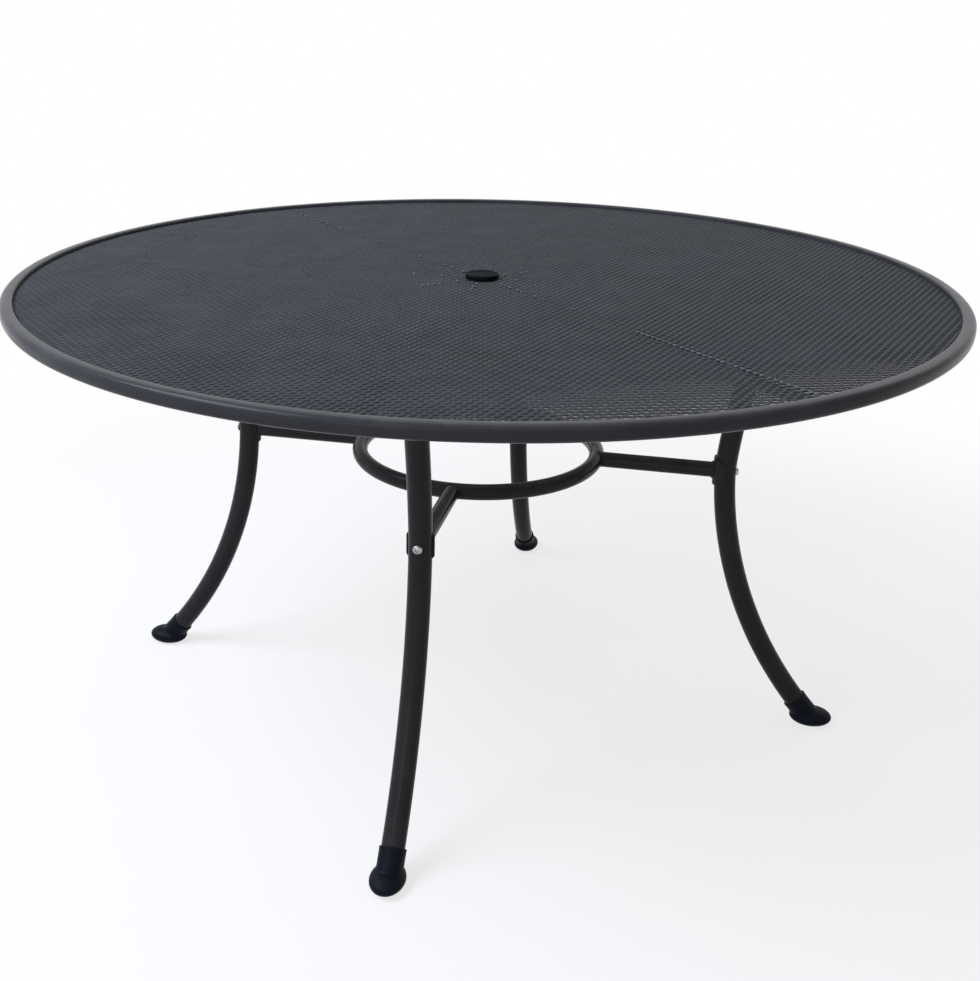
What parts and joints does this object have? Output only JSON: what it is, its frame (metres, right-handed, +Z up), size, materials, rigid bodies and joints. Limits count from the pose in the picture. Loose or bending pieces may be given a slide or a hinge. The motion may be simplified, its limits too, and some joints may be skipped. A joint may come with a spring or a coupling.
{
  "type": "umbrella table",
  "caption": "Round anthracite steel patio table with an expanded-metal top, a plugged umbrella hole and curved tube legs braced by a ring.",
  "frame": {"origin": "on the floor under the middle of the table top", "axes": "+Z up through the umbrella hub, -Y towards the front leg, +X towards the right leg"},
  "size_m": [1.4758, 1.4758, 0.7343],
  "materials": {
    "anthracite_steel": "satin powder coat",
    "mesh_coating": "satin powder coat",
    "plug_plastic": "matte",
    "boot_rubber": "matte",
    "bolt_zinc": "satin zinc"
  },
  "bodies": {
    "table": {"rim_tube": "anthracite_steel", "mesh_front_left": "mesh_coating", "mesh_back_right": "mesh_coating", "top_bar_1": "anthracite_steel", "top_bar_2": "anthracite_steel", "top_bar_3": "anthracite_steel", "top_bar_4": "anthracite_steel", "top_bar_5": "anthracite_steel", "top_bar_6": "anthracite_steel", "top_bar_7": "anthracite_steel", "top_bar_8": "anthracite_steel", "support_ring": "anthracite_steel", "umbrella_hub": "anthracite_steel", "leg_ring": "anthracite_steel", "leg_front": "anthracite_steel", "leg_right": "anthracite_steel", "leg_back": "anthracite_steel", "leg_left": "anthracite_steel", "strut_front": "anthracite_steel", "strut_right": "anthracite_steel", "strut_back": "anthracite_steel", "strut_left": "anthracite_steel", "saddles": "anthracite_steel", "boots": "boot_rubber", "leg_bolts": "bolt_zinc", "leg_nuts": "bolt_zinc"},
    "plug": {"umbrella_plug": "plug_plastic"}
  },
  "joints": [
    {"name": "plug_lift", "type": "slide", "parent": "table", "child": "plug", "axis": [0, 0, 1], "range_m": [0, 0.06]}
  ]
}
